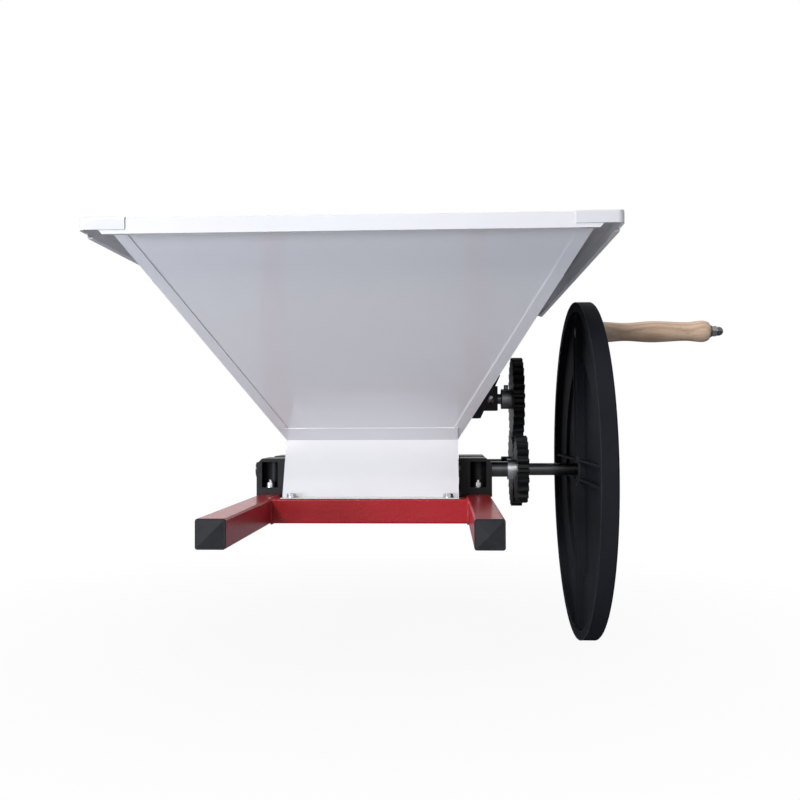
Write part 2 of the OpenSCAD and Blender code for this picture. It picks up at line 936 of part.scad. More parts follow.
// The pinion has a tooth towards +Y, so the roller gear has a gap towards -Y
pitch_turn = 360 / gear_teeth;
back_turn = 180 + pitch_turn / 2;
mesh_line = atan2(agitator_z - axis_z, -roller_y);
mesh_step = round((mesh_line - back_turn) / pitch_turn);
tooth_off = back_turn + mesh_step * pitch_turn - mesh_line;
agitator_turn = mesh_line + 180 - tooth_off - pitch_turn / 2;

module back_roller_gear() {
  color(black) translate([0, roller_y, axis_z]) {
    toothed_disc(gear_teeth, shaft_d, gear_x, back_turn);
    hub(shaft_d, gear_x - back_hub_length, gear_x, screw_turn);
  }
}

module back_gear_set_screw() {
  color(steel) translate([0, roller_y, axis_z]) {
    set_screw(shaft_d, gear_x - back_hub_length / 2, screw_stand, screw_turn);
  }
}

module agitator_gear() {
  color(black) translate([0, 0, agitator_z]) {
    toothed_disc(gear_teeth, agitator_shaft_d, agitator_gear_x, agitator_turn);
    hub(agitator_shaft_d, agitator_gear_x - agitator_hub_length, agitator_gear_x, 0);
  }
}

module agitator_set_screw() {
  color(steel) translate([0, 0, agitator_z]) {
    set_screw(agitator_shaft_d, agitator_gear_x - agitator_hub_length / 2, agitator_screw_stand, 0);
  }
}

collar_length = 6;
collar_gap = 0.5;
shaft_stand = 2;
agitator_pin_x = throat_x - 12;

module agitator_collar() {
  x1 = -bracket_left_x - collar_gap;
  color(steel) translate([0, 0, agitator_z]) difference() {
    bar(hub_d, x1 - collar_length, x1);
    bar(agitator_shaft_d, x1 - collar_length - cut, x1 + cut);
  }
}

// Child shape placed at each agitator pin, every second one turned by a quarter
module at_agitator_pins() {
  step = 2 * agitator_pin_x / (agitator_pin_count - 1);
  for (i = [0:agitator_pin_count - 1]) {
    translate([i * step - agitator_pin_x, 0, agitator_z]) rotate([90 * (i % 2), 0, 0]) children();
  }
}

module agitator_pins() {
  color(steel) at_agitator_pins() cylinder(d = agitator_pin_d, h = 2 * agitator_reach, center = true);
}

module agitator_shaft() {
  left = -bracket_left_x - collar_gap - collar_length - shaft_stand;
  color(steel) difference() {
    translate([0, 0, agitator_z]) bar(agitator_shaft_d, left, agitator_gear_x + gear_face + shaft_stand);
    at_agitator_pins() cylinder(d = agitator_pin_d, h = 2 * agitator_shaft_d, center = true);
  }
}

// Flywheel section in radius and place along the shaft
module wheel_section() {
  chamfer = 1.5;
  rim_in = wheel_r - rim_thickness;
  rim_end = wheel_x + rim_face;
  polygon([
    [rim_in, wheel_x], [wheel_r - chamfer, wheel_x], [wheel_r, wheel_x + chamfer],
    [wheel_r, rim_end - chamfer], [wheel_r - chamfer, rim_end], [rim_in, rim_end]
  ]);
  translate([step_r - merge, wheel_web_x]) square([rim_in - step_r + 2 * merge, web_thickness]);
  translate([step_r - step_wall, wheel_web_x]) square([step_wall, 2 * web_thickness]);
  translate([seat_d / 2 + merge, wheel_disc_x]) square([step_r - seat_d / 2 - 2 * merge, web_thickness]);
  translate([seat_d / 2, wheel_hub_x]) square([(wheel_hub_d - seat_d) / 2, wheel_hub_end - wheel_hub_x]);
}

module flywheel() {
  rib_x = wheel_x + 2.5;
  rim_in = wheel_r - rim_thickness;
  color(black) translate([0, -roller_y, axis_z]) difference() {
    union() {
      rotate([0, 90, 0]) rotate_extrude() wheel_section();
      for (a = [0:90:270], s = [-1, 1]) {
        rotate([a, 0, 0]) translate([rib_x, (s * rib_spacing - rib_thickness) / 2, 0]) {
          translate([0, 0, rib_start]) {
            cube([wheel_disc_x - rib_x + merge, rib_thickness, step_r - merge - rib_start]);
          }
          translate([0, 0, step_r - step_wall]) {
            cube([wheel_web_x - rib_x + merge, rib_thickness, rim_in - step_r + step_wall + merge]);
          }
        }
      }
      translate([0, 0, crank_radius]) bar(boss_d, wheel_web_x + merge, boss_end);
    }
    translate([0, 0, crank_radius]) bar(handle_bolt_d, wheel_x, boss_end + cut);
    key_shape();
  }
}

module flywheel_key() {
  color(steel) translate([0, -roller_y, axis_z]) key_shape();
}

module flywheel_washer() {
  color(steel) translate([wheel_hub_end, -roller_y, axis_z]) difference() {
    bar(2 * thread_d, 0, wheel_washer_t);
    bar(thread_d + 2 * bolt_clearance, -cut, wheel_washer_t + cut);
  }
}

module flywheel_nut() {
  color(steel) translate([wheel_hub_end + wheel_washer_t, -roller_y, axis_z]) difference() {
    hex_bar(wheel_nut_width, 0, wheel_nut_height);
    bar(thread_d, -cut, wheel_nut_height + cut);
  }
}

module handle_bolt() {
  color(steel) translate([0, -roller_y, handle_z]) {
    hex_bar(handle_hex, wheel_web_x - handle_head, wheel_web_x);
    bar(handle_bolt_d, wheel_web_x - cut, dome_x + dome_hex + dome_neck);
  }
}

module handle_washer() {
  color(steel) translate([handle_washer_x, -roller_y, handle_z]) difference() {
    bar(2 * handle_bolt_d, 0, handle_washer_t);
    bar(handle_bolt_d + 2 * bolt_clearance, -cut, handle_washer_t + cut);
  }
}

module handle_dome_nut() {
  neck_end = dome_hex + dome_neck;
  color(steel) translate([dome_x, -roller_y, handle_z]) difference() {
    union() {
      hex_bar(handle_hex, 0, dome_hex);
      bar(2 * dome_r, cut, neck_end);
      translate([neck_end, 0, 0]) rotate([0, 90, 0]) rotate_extrude() intersection() {
        circle(dome_r);
        square(dome_r);
      }
    }
    bar(handle_bolt_d, -cut, neck_end);
  }
}

module handle_grip() {
  outline = [
    for (i = [0:len(grip_stations) - 2], k = [0:grip_steps - 1]) grip_point(i, k / grip_steps),
    grip_point(len(grip_stations) - 2, 1)
  ];
  bore_r = handle_bolt_d / 2 + handle_clearance;
  color(beech) translate([grip_x, -roller_y, handle_z]) rotate([0, 90, 0]) rotate_extrude() {
    polygon(concat([[bore_r, 0]], outline, [[bore_r, grip_length]]));
  }
}

left_rail();
right_rail();
front_cross_tube();
back_cross_tube();
front_left_end_cap();
front_right_end_cap();
back_left_end_cap();
back_right_end_cap();
front_hopper_panel();
back_hopper_panel();
left_hopper_panel();
right_hopper_panel();
front_left_corner();
front_right_corner();
back_left_corner();
back_right_corner();
front_apron();
back_apron();
left_side_plate();
right_side_plate();
front_left_bearing();
front_right_bearing();
back_left_bearing();
back_right_bearing();
bearing_studs();
bearing_washers();
bearing_nuts();
apron_bolts();
left_agitator_bracket();
right_agitator_bracket();
bracket_bolts();
bracket_nuts();
front_roller_shaft();
front_roller();
front_roller_pin();
pinion();
pinion_hub();
pinion_set_screw();
flywheel();
flywheel_key();
flywheel_washer();
flywheel_nut();
handle_bolt();
handle_washer();
handle_dome_nut();
handle_grip();
back_roller_shaft();
back_roller();
back_roller_pin();
back_roller_gear();
back_gear_set_screw();
agitator_shaft();
agitator_pins();
agitator_gear();
agitator_set_screw();
agitator_collar();
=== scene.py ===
# %% [markdown]
# # A hand-cranked grape crusher, dressed on its CAD frame
# A white sheet hopper sits on a red tube frame. A flywheel turns two fluted rollers through open gears.
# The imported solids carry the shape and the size. This script gives them their finishes, rounds the
# edges that moulding leaves soft, and adds the small forms that solids leave plain: painted sheet
# edges, weld beads, chamfered nuts, threads, a dome nut, ridges on the wheel, a hub sleeve and the
# turned grip.

import json
import math

import bmesh
import bpy
import numpy as np
from mathutils import Matrix, Vector


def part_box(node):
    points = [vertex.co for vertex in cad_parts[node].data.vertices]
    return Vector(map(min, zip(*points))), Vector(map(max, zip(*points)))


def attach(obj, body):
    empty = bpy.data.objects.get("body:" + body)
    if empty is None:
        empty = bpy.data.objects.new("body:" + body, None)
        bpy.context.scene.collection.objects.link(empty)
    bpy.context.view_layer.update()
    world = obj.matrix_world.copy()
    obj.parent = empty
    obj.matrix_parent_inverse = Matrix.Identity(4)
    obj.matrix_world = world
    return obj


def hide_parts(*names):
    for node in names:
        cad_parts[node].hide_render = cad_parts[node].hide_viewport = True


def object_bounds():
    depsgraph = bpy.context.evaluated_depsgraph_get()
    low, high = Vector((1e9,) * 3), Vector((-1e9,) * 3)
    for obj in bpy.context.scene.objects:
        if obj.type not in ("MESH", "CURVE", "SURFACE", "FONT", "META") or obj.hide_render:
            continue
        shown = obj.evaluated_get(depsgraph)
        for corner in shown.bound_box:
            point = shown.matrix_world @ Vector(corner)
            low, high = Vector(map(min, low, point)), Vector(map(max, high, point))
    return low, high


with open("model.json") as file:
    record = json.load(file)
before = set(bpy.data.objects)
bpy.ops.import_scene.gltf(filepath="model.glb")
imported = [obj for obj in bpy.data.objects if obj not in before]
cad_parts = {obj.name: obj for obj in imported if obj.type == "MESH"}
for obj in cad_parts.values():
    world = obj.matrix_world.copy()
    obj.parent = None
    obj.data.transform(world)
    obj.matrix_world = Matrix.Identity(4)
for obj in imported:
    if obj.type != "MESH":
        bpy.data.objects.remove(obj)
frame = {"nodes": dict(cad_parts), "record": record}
cad_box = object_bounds()
record = frame["record"]
MM = 0.001
BODY_OF = {node: body for body, nodes in record["behaviour"]["bodies"].items() for node in nodes}
SLOT_OF = {part["node"]: part["material_slot"] for part in record["subparts"]}
print("nodes", len(frame["nodes"]), "box", cad_box)

# %% [markdown]
# ## Finishes
# Every finish is a small node tree on Object coordinates, so it stays with the piece and needs no
# image. One noise varies the colour a little, a second one varies the gloss, and a fine one gives the
# relief: orange peel in paint, grain in moulded plastic and lathe lines in steel. An image could show
# the same, but a formula has no seams and no fixed resolution.

# %% Noise and colour nodes


def noise(tree, scale, detail):
    """Noise between 0 and 1 on Object coordinates. The scale is one number, or one for each axis."""
    mapping = tree.nodes.new("ShaderNodeMapping")
    mapping.inputs["Scale"].default_value = np.full(3, scale, float)
    coords = tree.nodes.new("ShaderNodeTexCoord").outputs["Object"]
    tree.links.new(coords, mapping.inputs["Vector"])
    cloud = tree.nodes.new("ShaderNodeTexNoise")
    cloud.inputs["Scale"].default_value = 1.0
    cloud.inputs["Detail"].default_value = detail
    tree.links.new(mapping.outputs["Vector"], cloud.inputs["Vector"])
    return cloud.outputs["Fac"]


def ramp(tree, fac, low, high, start=0.3, end=0.7):
    """Colour that runs from low to high while fac runs from start to end."""
    node = tree.nodes.new("ShaderNodeValToRGB")
    for stop, position, colour in zip(node.color_ramp.elements, (start, end), (low, high)):
        stop.position = position
        stop.color = (*colour, 1)
    tree.links.new(fac, node.inputs["Fac"])
    return node.outputs["Color"]


# %% [markdown]
# One function builds every finish, so that all of them vary in the same three ways and differ only in
# their numbers. A group node could do the same, but a function is shorter to read.

# %% Node tree of a finish


def finish(name, low, high, scale, rough, bump, level=0.5, metallic=0.0, coat=0.0, coat_rough=0.05,
           coat_ior=1.5):
    """Procedural finish whose colour runs from low to high over a noise of the given scale.

    rough is (least, most, scale) of the gloss and bump is (strength, scale) of the fine relief. level
    is how strongly the bare surface mirrors, and coat is the share of a clear gloss layer on top.
    """
    look = bpy.data.materials.new(name)
    look.use_nodes = True
    tree = look.node_tree
    shader = tree.nodes["Principled BSDF"]
    shader.inputs["Metallic"].default_value = metallic
    shader.inputs["Coat Weight"].default_value = coat
    shader.inputs["Coat Roughness"].default_value = coat_rough
    shader.inputs["Coat IOR"].default_value = coat_ior
    shader.inputs["Specular IOR Level"].default_value = level
    tree.links.new(ramp(tree, noise(tree, scale, detail=4), low, high), shader.inputs["Base Color"])
    least, most, rough_scale = rough
    gloss = tree.nodes.new("ShaderNodeMapRange")
    gloss.inputs["To Min"].default_value = least
    gloss.inputs["To Max"].default_value = most
    tree.links.new(noise(tree, rough_scale, detail=3), gloss.inputs["Value"])
    tree.links.new(gloss.outputs["Result"], shader.inputs["Roughness"])
    strength, bump_scale = bump
    relief = tree.nodes.new("ShaderNodeBump")
    relief.inputs["Strength"].default_value = strength
    relief.inputs["Distance"].default_value = MM
    tree.links.new(noise(tree, bump_scale, detail=2), relief.inputs["Height"])
    for layer in ("Normal", "Coat Normal"):
        tree.links.new(relief.outputs["Normal"], shader.inputs[layer])
    return look


# %% [markdown]
# ### Enamel
# The hopper is baked white enamel and the frame is the same enamel in red, both with a clear gloss.
# The gloss is a coat layer over a duller base, because one glossy layer would wash out the red.

# %% White and red enamel
ENAMELS = {
    "white_paint": dict(low=(0.785, 0.783, 0.805), high=(0.825, 0.822, 0.84), scale=5,
                        rough=(0.3, 0.4, 25), bump=(0.05, 420), level=0.05,
                        coat=1.0, coat_rough=0.06, coat_ior=1.75),
    "red_paint": dict(low=(0.38, 0.014, 0.02), high=(0.46, 0.02, 0.027), scale=16,
                      rough=(0.4, 0.5, 60), bump=(0.4, 380), level=0.1,
                      coat=0.5, coat_rough=0.08),
}
LOOKS = {name: finish(name, **numbers) for name, numbers in ENAMELS.items()}
print("enamels", list(ENAMELS))

# %% [markdown]
# ### Moulded plastic
# The rim corners are white plastic. The tube caps, bearing blocks, gears and wheel are black, each with
# its own depth of black and its own gloss, because each comes from another mould. One black could serve
# them all, but then the gears would merge with the wheel and the blocks around them.

# %% White and black plastics
PLASTICS = {
    "corner_plastic": dict(low=(0.725, 0.725, 0.745), high=(0.765, 0.765, 0.78), scale=9,
                           rough=(0.3, 0.4, 50), bump=(0.04, 700), level=0.05,
                           coat=0.6, coat_rough=0.1),
    "cap_plastic": dict(low=(0.025, 0.026, 0.028), high=(0.033, 0.034, 0.036), scale=60,
                        rough=(0.45, 0.55, 120), bump=(0.12, 1500), level=0.08),
    "bearing_plastic": dict(low=(0.004, 0.004, 0.005), high=(0.008, 0.008, 0.009), scale=50,
                            rough=(0.32, 0.42, 120), bump=(0.15, 1400), level=0.22),
    "gear_plastic": dict(low=(0.008, 0.0085, 0.009), high=(0.013, 0.0135, 0.014), scale=50,
                         rough=(0.38, 0.48, 90), bump=(0.12, 1200), level=0.2),
    "wheel_plastic": dict(low=(0.017, 0.0182, 0.022), high=(0.022, 0.0233, 0.0275), scale=14,
                          rough=(0.5, 0.6, 40), bump=(0.12, 1200), level=0.008),
}
LOOKS |= {name: finish(name, **numbers) for name, numbers in PLASTICS.items()}
print("plastics", list(PLASTICS))

# %% [markdown]
# ### Bare metal
# The rollers are cast aluminium. The shafts are drawn steel and the hubs are turned, so their noise is
# fine along the axle and coarse around it, which leaves lines around them. Most fasteners are zinc
# plated, and the handle's bolt is blackened. Anisotropic shading could give the lines too, but it needs
# a direction on every face, and the noise needs none.

# %% Aluminium and steels
METALS = {
    "roller_metal": dict(low=(0.46, 0.47, 0.49), high=(0.58, 0.59, 0.61), scale=40,
                         rough=(0.35, 0.5, 150), bump=(0.2, 900)),
    "bright_steel": dict(low=(0.56, 0.585, 0.62), high=(0.66, 0.685, 0.72), scale=(400, 20, 20),
                         rough=(0.2, 0.3, 80), bump=(0.08, (2600, 60, 60))),
    "drawn_steel": dict(low=(0.10, 0.103, 0.106), high=(0.14, 0.143, 0.146), scale=(60, 20, 20),
                        rough=(0.15, 0.22, 60), bump=(0.03, (1800, 40, 40))),
    # Darker turned steel: the dome nut's own, and painted shade on the agitator's hub sleeve under the
    # hopper.
    "dome_and_shaded_hub_steel": dict(low=(0.24, 0.245, 0.25), high=(0.30, 0.305, 0.31), scale=(60, 20, 20),
                      rough=(0.25, 0.35, 60), bump=(0.05, (1800, 40, 40))),
    "zinc_steel": dict(low=(0.48, 0.50, 0.54), high=(0.64, 0.65, 0.68), scale=160,
                       rough=(0.25, 0.4, 200), bump=(0.1, 900)),
    "black_steel": dict(low=(0.03, 0.03, 0.032), high=(0.05, 0.05, 0.052), scale=160,
                        rough=(0.5, 0.6, 200), bump=(0.08, 900)),
}
LOOKS |= {name: finish(name, metallic=1.0, **numbers) for name, numbers in METALS.items()}
print("metals", list(METALS))

# %% [markdown]
# ### Beech
# Beech is pale and even, with faint growth rings and short dark flecks along the grain. The rings are
# a wave around an axis that lies beside the grip, so that they cross its surface in long flames, and
# the flecks are a noise that is stretched along the grip. An image of a board could be wrapped around
# it instead, but then its rings would not meet those on the ends.

# %% Beech wood
RING_STRETCH, RING_SCALE, RING_BEND, RING_BEND_SCALE = 0.25, 75, 3.0, 0.6
RING_SHADE, FLECK_SHADE, SHADE_SHARE = (0.72, 0.66, 0.60), (0.62, 0.52, 0.44), 0.75
RING_AXIS_OFFSET, FLECK_SCALE = np.array((0, 20, 12)) * MM, (90, 1300, 1300)


def box_of(node):
    """Lowest and highest corner of a node, as two arrays."""
    return np.array(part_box(node))


def beech_wood(name, centre):
    """Rings around an axis along X through centre, with flecks; both darken a pale base colour."""
    look = finish(name, low=(0.66, 0.465, 0.325), high=(0.765, 0.555, 0.4), scale=(20, 160, 160),
                  rough=(0.42, 0.56, 140), bump=(0.22, (110, 1500, 1500)), level=0.35)
    tree = look.node_tree
    shader = tree.nodes["Principled BSDF"]
    base = shader.inputs["Base Color"].links[0].from_socket
    mapping = tree.nodes.new("ShaderNodeMapping")
    mapping.inputs["Location"].default_value = (-RING_STRETCH * centre[0], -centre[1], -centre[2])
    mapping.inputs["Scale"].default_value = (RING_STRETCH, 1, 1)
    coords = tree.nodes.new("ShaderNodeTexCoord").outputs["Object"]
    tree.links.new(coords, mapping.inputs["Vector"])
    rings = tree.nodes.new("ShaderNodeTexWave")
    rings.wave_type = "RINGS"
    rings.rings_direction = "X"
    rings.inputs["Scale"].default_value = RING_SCALE
    rings.inputs["Distortion"].default_value = RING_BEND
    rings.inputs["Detail Scale"].default_value = RING_BEND_SCALE
    tree.links.new(mapping.outputs["Vector"], rings.inputs["Vector"])
    flecks = noise(tree, FLECK_SCALE, detail=2)
    shades = (ramp(tree, rings.outputs["Fac"], RING_SHADE, (1, 1, 1), start=0.0, end=0.75),
              ramp(tree, flecks, FLECK_SHADE, (1, 1, 1), start=0.3, end=0.42))
    for shade in shades:
        darken = tree.nodes.new("ShaderNodeMix")
        darken.data_type = "RGBA"
        darken.blend_type = "MULTIPLY"
        darken.inputs["Factor"].default_value = SHADE_SHARE
        tree.links.new(base, darken.inputs["A"])
        tree.links.new(shade, darken.inputs["B"])
        base = darken.outputs["Result"]
    tree.links.new(base, shader.inputs["Base Color"])
    return look


grip_lo, grip_hi = box_of("handle_grip")
LOOKS["beech"] = beech_wood("beech", (grip_lo + grip_hi) / 2 + RING_AXIS_OFFSET)
print("finishes", len(LOOKS))

# %% [markdown]
# The record gives each node a material slot, and each slot has a finish of the same name. Only the
# drawn shafts and pins share a slot with brighter steel, so they are named here.

# %% A finish on every node
DRAWN = ("front_roller_shaft", "back_roller_shaft", "agitator_shaft", "agitator_pins", "handle_washer")
for node, slot_name in SLOT_OF.items():
    data = frame["nodes"][node].data
    data.materials.clear()
    data.materials.append(LOOKS["drawn_steel" if node in DRAWN else slot_name])
print("dressed nodes", len(SLOT_OF))

# %% [markdown]
# ## Soft edges
# A moulded block has no knife edge: the mould rounds it, and the round catches the light as a thin
# bright line. Each of these pieces is a copy of its solid with its flat faces joined and a narrow bevel
# along every sharp edge. The solids could carry these rounds too, but they would only slow the checks,
# and a bevel modifier is easy to change.

# %% Helpers that every new piece needs


def weld(mesh, distance, flat=None):
    """Join points closer than the distance and, where an angle is given, faces that are flat within it.

    On a grid this closes seams and poles, and drops the faces without area.
    """
    work = bmesh.new()
    work.from_mesh(mesh)
    bmesh.ops.remove_doubles(work, verts=work.verts, dist=distance)
    if flat:
        limit = math.radians(flat)
        bmesh.ops.dissolve_limit(work, angle_limit=limit, verts=work.verts, edges=work.edges)
    work.to_mesh(mesh)
    work.free()


def shade_smooth(mesh, facet):
    """Shade as one smooth surface the faces that meet at less than the facet angle."""
    mesh.polygons.foreach_set("use_smooth", np.ones(len(mesh.polygons), bool))
    mesh.set_sharp_from_angle(angle=math.radians(facet))


def add_piece(name, mesh, body, replaced):
    """Object of a mesh that rides on a body and stands for the replaced nodes, which it hides."""
    piece = bpy.data.objects.new(name, mesh)
    bpy.context.collection.objects.link(piece)
    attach(piece, body)
    if replaced:
        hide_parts(*replaced)
    return piece


# %% [markdown]
# The imported mesh carries normals of its own, which would hide the new facets, so the copy drops
# them. The low pyramids of the tube caps are nearly flat, and only a small facet angle keeps their
# ridges crisp.

# %% Copies of the moulded solids with rounded edges
EDGES = {"end_cap": 0.7, "bearing": 0.7, "agitator_bracket": 0.7, "corner": 0.4, "pinion": 0.35,
         "gear": 0.35, "flywheel": 0.9}
FACET, CAP_FACET, FLAT_ANGLE, BEVEL_ANGLE, BEVEL_SEGMENTS = 30, 8, 0.5, 35, 3
SOLID_WELD = 0.002 * MM


def soften(node, width, facet):
    """Copy of a node whose sharp edges are rounded over the given width."""
    mesh = frame["nodes"][node].data.copy()
    weld(mesh, SOLID_WELD, FLAT_ANGLE)
    stored_normals = mesh.attributes.get("custom_normal")
    if stored_normals:
        mesh.attributes.remove(stored_normals)
    shade_smooth(mesh, facet)
    piece = add_piece("rounded_" + node, mesh, BODY_OF[node], [node])
    bevel = piece.modifiers.new("edge", "BEVEL")
    bevel.width = width
    bevel.segments = BEVEL_SEGMENTS
    bevel.limit_method = "ANGLE"
    bevel.angle_limit = math.radians(BEVEL_ANGLE)
    bevel.harden_normals = True
    return piece


softened = [soften(node, width * MM, CAP_FACET if ending == "end_cap" else FACET)
            for node in SLOT_OF for ending, width in EDGES.items() if node.endswith(ending)]
print("softened", len(softened))

# %% [markdown]
# ## Surfaces from two parameters
# Each added piece is a grid of points, made with whole numpy arrays: one parameter runs along the
# piece and the other runs around it. A piece keeps its place in its mesh, so its object stays at the
# origin. Several grids can share one mesh, which suits a set of equal fasteners. Primitives and curves
# could give some of these pieces, but a formula gives all of them in one way.

# %% Build a mesh from point grids
GRID_WELD = 0.001 * MM


def grid_faces(rows, cols):
    """Quads between neighbouring points of a rows by cols grid that closes around its columns."""
    i, j = np.meshgrid(np.arange(rows - 1), np.arange(cols), indexing="ij")
    k = (j + 1) % cols
    quads = [i * cols + j, i * cols + k, (i + 1) * cols + k, (i + 1) * cols + j]
    return np.stack(quads, -1).reshape(-1, 4)


def make_piece(name, grids, body, look, replaced=(), facet=40):
    """One object from several point grids of shape (rows, cols, 3), riding on a body."""
    sizes = [g.shape[0] * g.shape[1] for g in grids]
    starts = np.cumsum([0] + sizes[:-1])
    faces = np.concatenate([grid_faces(*g.shape[:2]) + start for g, start in zip(grids, starts)])
    mesh = bpy.data.meshes.new(name)
    mesh.from_pydata(np.concatenate([g.reshape(-1, 3) for g in grids]), [], faces)
    weld(mesh, GRID_WELD)
    shade_smooth(mesh, facet)
    mesh.materials.append(LOOKS[look])
    print(name, "faces", len(mesh.polygons))
    return add_piece(name, mesh, body, replaced)


# %% [markdown]
# ## Painted sheet edges
# Enamel draws back from a cut edge and dries as a thick round bead along it, so the edges where one
# sheet laps another show as fine lines. Each bead is a round section along the middle of the cut, found
# on the solid: the top edge of an apron, and the inner edge of each strip that a side panel laps over
# the front or the back. The sheet itself could be rounded instead, but then a gap would open where it
# laps.

# %% Rows of points around an axis


def place(local, origin, axis):
    """Turn points given across and along an axis so that their third coordinate runs along it."""
    turn = np.array(Vector(axis).to_track_quat("Z", "Y").to_matrix())
    return local @ turn.T + np.asarray(origin)


def around(radii, heights, origin, axis):
    """Closed rows around an axis: radii has one row for each height and one column for each angle."""
    a = np.linspace(0, 2 * np.pi, radii.shape[1] + 1)[:-1]
    h = np.broadcast_to(np.asarray(heights)[:, None], radii.shape)
    return place(np.stack([radii * np.cos(a), radii * np.sin(a), h], -1), origin, axis)


# %% [markdown]
# A bead ends in a point at both ends, so that its surface is closed and its ends look round.

# %% Beads along the cut edges of the sheets
FLANGE_BEAD, LAP_BEAD, SAME = 0.75 * MM, 0.62 * MM, 0.05 * MM


def points_of(node):
    """Vertices of a node as one array of points."""
    vertices = frame["nodes"][node].data.vertices
    flat = np.empty(3 * len(vertices))
    vertices.foreach_get("co", flat)
    return flat.reshape(-1, 3)


def edge_bead(start, end, radius, end_rows=8, cols=12):
    """Round section along a straight line; near each end its radius falls as a quarter circle."""
    start, end = np.asarray(start), np.asarray(end)
    length = np.linalg.norm(end - start)
    near = np.linspace(0, 1, end_rows) * radius
    along = np.concatenate([near, length - near[::-1]])
    r = np.sqrt(radius**2 - np.maximum(0, radius - np.minimum(along, length - along)) ** 2)
    return around(np.repeat(r[:, None], cols, axis=1), along, start, (end - start) / length)


sheet_edges = []
for name in ("front_apron", "back_apron"):
    sheet = points_of(name)
    cut = sheet[sheet[:, 2] > sheet[:, 2].max() - SAME]
    ends = np.array([cut.mean(0)] * 2)
    ends[:, 0] = cut[:, 0].min(), cut[:, 0].max()
    sheet_edges.append(edge_bead(*ends, FLANGE_BEAD))
for name in ("left_hopper_panel", "right_hopper_panel"):
    sheet = points_of(name)
    middle = (sheet[:, 2].min() + sheet[:, 2].max()) / 2
    for end in (-1, 1):
        ends = []
        for half in (sheet[:, 2] < middle, sheet[:, 2] > middle):
            corner = sheet[half & (sheet[:, 1] * end > 0)]
            inmost = abs(corner[:, 0])
            ends.append(corner[inmost < inmost.min() + SAME].mean(0))
        sheet_edges.append(edge_bead(*ends, LAP_BEAD))
make_piece("sheet_edges", sheet_edges, "frame", "white_paint")

# %% [markdown]
# ## Weld beads
# The cross tubes are welded to the rails. Each bead is a round section carried around the tube's
# outline, and its radius swells and shrinks every few millimetres, as the weld pool freezes. A curve
# with a bevel could give the round section, but not the ripples.

# %% Beads where the cross tubes meet the rails
TUBE_CORNER, BEAD = 2.5 * MM, 1.5 * MM
RIPPLES, RIPPLE, SWELLS, SWELL = 52, 0.12, 9, 0.05


def weld_bead(x, y_mid, z_mid, half, corner, radius, rows=240, cols=14):
    """Round section of the given radius along a rounded square, with ripples along its length.

    The path is the nearest point of the inner square plus the corner radius along the way outwards.
    """
    s = np.linspace(0, 2 * np.pi, rows + 1)[:-1]
    ray = np.stack([np.cos(s), np.sin(s)], -1)
    ray *= half / abs(ray).max(-1, keepdims=True)
    inner = np.clip(ray, corner - half, half - corner)
    outward = ray - inner
    outward /= np.linalg.norm(outward, axis=-1, keepdims=True)
    path = inner + corner * outward
    a = np.linspace(0, 2 * np.pi, cols + 1)[:-1]
    r = radius * (1 + RIPPLE * np.sin(RIPPLES * s) + SWELL * np.sin(SWELLS * s))[:, None]
    yz = path[:, None] + outward[:, None] * (r * np.sin(a))[..., None]
    ring = np.stack([x + r * np.cos(a), y_mid + yz[..., 0], z_mid + yz[..., 1]], -1)
    return np.concatenate([ring, ring[:1]])


beads = []
for tube in ("front_cross_tube", "back_cross_tube"):
    lo, hi = box_of(tube)
    mid = (lo + hi) / 2
    beads += [weld_bead(x, mid[1], mid[2], hi[2] - mid[2], TUBE_CORNER, BEAD) for x in (lo[0], hi[0])]
make_piece("weld_beads", beads, "frame", "red_paint")

# %% [markdown]
# ## Nuts, bolt heads and threads
# A real nut has its corners turned off by a cone. The surface takes the smaller of two radii at each
# angle and height: the flat sides of the hexagon, and a 30 degree cone near the end faces.
# A thread is a cylinder whose radius follows a triangle wave along a helix. A bevel could not give
# either of them, because the cone cuts the corners and leaves the flats whole.

# %% Chamfered hexagon and thread surfaces
CONE_ANGLE, CONE_FACE, CONE_RISE, CONE_STEP = 30, 0.475, 0.07, 0.35
THREAD_DEPTH, THREAD_END, END_FACE = 0.3, 0.35, 0.9
HEX_FACET, NO_BORE = 25, 0


def hex_nut(origin, axis, width, height, bore, chamfers=(True, True), cols=72):
    """Hexagonal prism with coned ends: radius is the least of the flats and the cone at each height."""
    a = np.linspace(0, 2 * np.pi, cols + 1)[:-1]
    flats = width / 2 / np.cos((a % (np.pi / 3)) - np.pi / 6)
    rise = CONE_RISE * width
    low, high = ((0, rise * CONE_STEP, rise) if on else (0, 0, 0) for on in chamfers)
    heights = np.array([0, *low, *(height - np.array(high)[::-1]), height])
    slope = math.tan(math.radians(CONE_ANGLE))
    cone = np.minimum(heights, height - heights) / slope + width * CONE_FACE
    coned = np.repeat(chamfers, len(heights) // 2)
    r = np.where(coned[:, None], np.minimum(flats, cone[:, None]), flats)
    r[[0, -1]] = bore / 2
    nut = around(r, heights, origin, axis)
    return np.concatenate([nut, nut[:1]]) if bore else nut


def thread(origin, axis, diameter, length, pitch, cols=32, rows_per_turn=6):
    """Cylinder whose radius follows a triangle wave of height along a helix, closed at both ends."""
    a = np.linspace(0, 2 * np.pi, cols + 1)[:-1]
    z = np.arange(0, length, pitch / rows_per_turn)
    phase = (z[:, None] / pitch - a / (2 * np.pi)) % 1
    r = diameter / 2 - THREAD_DEPTH * pitch * abs(2 * phase - 1)
    r = np.minimum(r, diameter / 2 - THREAD_END * pitch + np.maximum(0, length - z)[:, None])
    r = np.concatenate([r[:1] * 0, r, r[-1:] * END_FACE, r[-1:] * 0])
    return around(r, np.concatenate([[0], z, [length, length]]), origin, axis)


# %% [markdown]
# The sizes come from the CAD nodes' boxes, so a changed part keeps its dressing. Studs stand on the
# rails, two for each bearing block, and each carries a washer and a nut.

